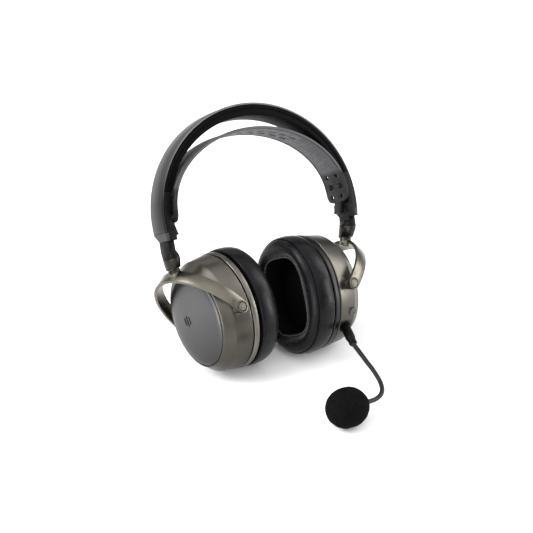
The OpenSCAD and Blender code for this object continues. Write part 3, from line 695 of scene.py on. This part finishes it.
def simulate(obj, pinned):
    """Lets the cover swell under pressure, with its seams held, then applies the result.
    It runs at ten times the size, where the cloth solver behaves, and the move is capped."""
    grown, frames, cap = 10, 20, 0.9 * MM
    mesh = obj.data
    count = len(mesh.vertices)
    start = np.zeros(count * 3)
    mesh.vertices.foreach_get("co", start)
    start = start.reshape(-1, 3)
    centre = start.mean(0)
    large = mesh.copy()
    large.vertices.foreach_set("co", ((start - centre) * grown).ravel())
    cover = bpy.data.objects.new("cloth_work", large)
    COL.objects.link(cover)
    cover.vertex_groups.new(name="held").add(pinned, 1.0, "REPLACE")
    cloth = cover.modifiers.new("cloth", "CLOTH")
    cloth.collision_settings.use_collision = False
    settings = cloth.settings
    settings.quality = 6
    settings.mass = 0.25
    settings.tension_stiffness = settings.compression_stiffness = 12
    settings.shear_stiffness = 6
    settings.bending_stiffness = 0.6
    settings.use_pressure = True
    settings.uniform_pressure_force = 4.0
    settings.vertex_group_mass = "held"
    settings.effector_weights.gravity = 0
    scene = bpy.context.scene
    for i in range(1, frames + 1):
        scene.frame_set(i)
    settled = cover.evaluated_get(bpy.context.evaluated_depsgraph_get())
    end = np.zeros(count * 3)
    settled.data.vertices.foreach_get("co", end)
    end = end.reshape(-1, 3) / grown + centre
    scene.frame_set(1)
    bpy.data.objects.remove(cover)
    move = end - start
    move[~np.isfinite(move)] = 0
    size = np.linalg.norm(move, axis=1)
    share = np.where(size > 1e-9, cap * np.tanh(size / cap) / np.maximum(size, 1e-9), 0)
    mesh.vertices.foreach_set("co", (start + move * share[:, None]).ravel())
    mesh.update()


def gather(pad, sec, sign):
    """Small gathers along the seam and round the opening, as the cover is pulled over the foam."""
    fine, slow = 0.10, 0.16         # heights of the gathers and of the slow waves, mm
    cup = cup_frame(sign)
    inv = cup.inverted()
    cols = len(sec)
    loose_seams = (SEAM - 1, SEAM, SEAM + 1, LIP, INSIDE)
    for i in range(PAD_STEPS):
        t = 2 * math.pi * i / PAD_STEPS
        for j in range(cols):
            if sec[j][3] and j not in loose_seams:
                continue
            v = pad.data.vertices[i * cols + j]
            p = inv @ (v.co / MM)
            near = math.exp(-((j - SEAM) / 3.0) ** 2) + 1.2 * math.exp(-((j - LIP) / 3.2) ** 2)
            amp = fine * near * noise.noise(Vector((t * 14, j * 0.35, 3.0 * sign)))
            amp += slow * noise.noise(Vector((p.x * 0.06, p.y * 0.07, p.z * 0.07 + 5 * sign)))
            lean = -0.35 if SEAM < j <= INSIDE else 0.0
            out = Vector((lean, p.y, p.z)).normalized() * (1 if j < LIP - 2 else -1)
            v.co = (cup @ (p + out * amp)) * MM
    for v in pad.data.vertices:
        v.co.z = max(v.co.z, FLOOR_GAP)


def ear_pad(tag, sign):
    sec = pad_section()
    cols = len(sec)
    rings = [pad_points(x, r, n, PAD_STEPS) for x, r, n, _ in sec]
    verts = [rings[j][i] for i in range(PAD_STEPS) for j in range(cols)]
    pad = piece("ear_pad_cover_" + tag, verts, ring_faces(PAD_STEPS, cols), "pad", cup_frame(sign))
    held = [i * cols + j for i in range(PAD_STEPS) for j in range(cols) if sec[j][3]]
    simulate(pad, held)
    gather(pad, sec, sign)
    pad.data.materials.append(M["pad_inner"])
    pad.data.materials.append(M["crease"])
    for i, poly in enumerate(pad.data.polygons):
        if i % cols >= INSIDE:
            poly.material_index = 1
        # the two columns at the seam get the painted shade
        elif i % cols in (SEAM - 1, SEAM):
            poly.material_index = 2
    sd = pad.modifiers.new("subdiv", "SUBSURF")
    sd.levels = sd.render_levels = 1
    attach(pad, "cup_" + tag)
    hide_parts("ear_pad_" + tag)


def ear_pad_welt(tag, sign):
    """The piping round the pad's opening, in a lighter leather that paints its highlight."""
    path = pad_points(-39.9, -9.1, 3.1, 160)
    v, f = sweep(path, circle(0.55, 10), closed=True, ref=(1, 0, 0))
    welt = piece("ear_pad_welt_" + tag, v, f, "piping", cup_frame(sign))
    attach(welt, "cup_" + tag)


for tag_, sign_ in SIDES:
    ear_pad(tag_, sign_)
    ear_pad_welt(tag_, sign_)


# ------------------------------------------------------------------ microphone


def gooseneck():
    """The ribbed sheath, one piece in place of the gooseneck's lower and upper parts."""
    low = [(-9.0, -41.1, -49.6), (-9.9, -43.4, -52.1), (-10.8, -47.5, -56), (-12, -53.5, -61.4),
           (-14, -62, -69), (-15.75, -69.9, -75.8)]
    high = [(-18.6, -78.6, -84), (-21.2, -83.4, -89), (-24.6, -86.8, -93), (-29.5, -88.8, -96),
            (-36, -89.8, -97.6), (-44, -90.8, -97.8), (-54.5, -92.0, -97.5)]
    radius, rib_pitch, rib_depth = 2.08, 1.3, 0.07
    path, length = spline(low + high, rib_pitch / 5)
    scale = []
    for i in range(len(path)):
        along = length * i / (len(path) - 1)
        rib = 0.5 - 0.5 * math.cos(2 * math.pi * along / rib_pitch)
        scale.append(1 - rib_depth + rib_depth * rib ** 0.5)
    cup = cup_frame(1)
    v, f = sweep(path, circle(radius, 20), ref=(-0.1, 0.75, -0.65), scale=scale)
    goose = piece("gooseneck_sheath", v, f, "goose", cup)
    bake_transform(goose)
    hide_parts("gooseneck_lower", "gooseneck_upper")


def windscreen():
    """Foam ball, a little longer than wide, with soft lumps."""
    rows, cols = 64, 96
    radius, half_length, pole, mean = 16.8, 18.9, 18.7, 17
    lumps = ((0.28, 0.16), (0.20, 0.75), (0.13, 1.9))      # height in mm, and waves a mm
    verts = []
    for i in range(1, rows):
        q = -math.pi / 2 + math.pi * i / rows
        r = radius * abs(math.cos(q)) ** 0.90
        z = half_length * spow(math.sin(q), 0.95)
        for j in range(cols):
            t = 2 * math.pi * j / cols
            p = Vector((r * math.cos(t), r * math.sin(t), z))
            lump = sum(height * noise.noise(p * waves) for height, waves in lumps)
            verts.append(p * (1 + lump / mean))
    faces = ring_faces(rows - 1, cols, wrap_rows=False)
    low, high = len(verts), len(verts) + 1
    verts += [Vector((0, 0, -pole)), Vector((0, 0, pole))]
    faces += [(low, (j + 1) % cols, j) for j in range(cols)]
    faces += [(high, (rows - 2) * cols + j, (rows - 2) * cols + (j + 1) % cols) for j in range(cols)]
    foam = piece("foam_windscreen", verts, faces, "foam", foam_frame())
    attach(foam, "mic_head")
    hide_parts("windscreen")


gooseneck()
windscreen()


# ------------------------------------------------------------------ headband details


STRAP_A, STRAP_B, STRAP_Z = 88.0, 66.3, 6.4     # the strap's half width, rise and height, mm


def strap_point(t_deg, depth):
    """A point of the strap's bow, at an angle from the left and a depth under its outside."""
    t = math.radians(t_deg)
    return Vector(((STRAP_A - depth) * math.cos(t), 0, STRAP_Z + (STRAP_B - depth) * math.sin(t)))


def strap_edge(name, y):
    """Rounded rail along one edge of the strap."""
    steps, first, span = 150, 2, 176        # span and the first angle in degrees
    path = [strap_point(first + span * i / steps, 1.0) + Vector((0, y, 0)) for i in range(steps + 1)]
    thick, wide, power = 1.0, 1.28, 0.6     # the section's half sizes in mm, and its squareness
    section = [(thick * spow(u, power), wide * spow(v, power)) for u, v in circle(1.0, 16)]
    verts, faces = sweep(path, section, ref=(0, 1, 0))
    rail = piece(name, verts, faces, "strap_edge", STAND)
    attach(rail, "headband")


strap_edge("strap_edge_front", -15.9)
strap_edge("strap_edge_rear", 15.9)

# ------------------------------------------------------------------ stage


def sun(name, direction, strength, angle):
    d = bpy.data.lights.new(name, "SUN")
    d.energy = strength
    d.angle = math.radians(angle)
    o = bpy.data.objects.new(name, d)
    o.rotation_euler = Vector(direction).to_track_quat("-Z", "Y").to_euler()
    COL.objects.link(o)


def area(name, at, look, size, size_y, power):
    d = bpy.data.lights.new(name, "AREA")
    d.energy = power
    d.shape = "RECTANGLE"
    d.size = size
    d.size_y = size_y
    o = bpy.data.objects.new(name, d)
    o.location = at
    o.rotation_euler = (Vector(look) - Vector(at)).to_track_quat("-Z", "Y").to_euler()
    COL.objects.link(o)


def paper():
    me = bpy.data.meshes.new("floor")
    bm = bmesh.new()
    bmesh.ops.create_grid(bm, x_segments=1, y_segments=1, size=6)
    bm.to_mesh(me)
    bm.free()
    floor = bpy.data.objects.new("floor", me)
    COL.objects.link(floor)
    me.materials.append(Shader("floor_paper", (0.80, 0.80, 0.80), 0.75, spec=0.25).mat)


def studio():
    world = bpy.data.worlds.new("studio")
    bpy.context.scene.world = world
    world.use_nodes = True
    bg = world.node_tree.nodes["Background"]
    bg.inputs["Color"].default_value = (1.0, 1.0, 1.0, 1)
    bg.inputs["Strength"].default_value = 0.32
    sun("ceiling", (0.10, -0.05, -1.0), 2.1, 120)
    sun("key_sun", (0.85, -0.35, -0.85), 2.5, 40)
    sun("front_fill", (0.30, 0.62, -0.75), 0.9, 90)
    area("left_box", (-1.1, -0.6, 0.25), (0, 0, 0.1), 0.9, 0.6, 10)
    area("rim_box", (-1.2, 0.5, 0.9), (0, 0, 0.2), 0.6, 0.6, 12)
    area("right_box", (1.1, -0.25, 0.7), (0, 0, 0.1), 0.5, 0.9, 9)
    area("low_strip", (1.15, -0.80, 0.30), (0, 0, 0.06), 0.20, 0.7, 10)


paper()
studio()
bpy.context.scene.view_settings.view_transform = "Standard"
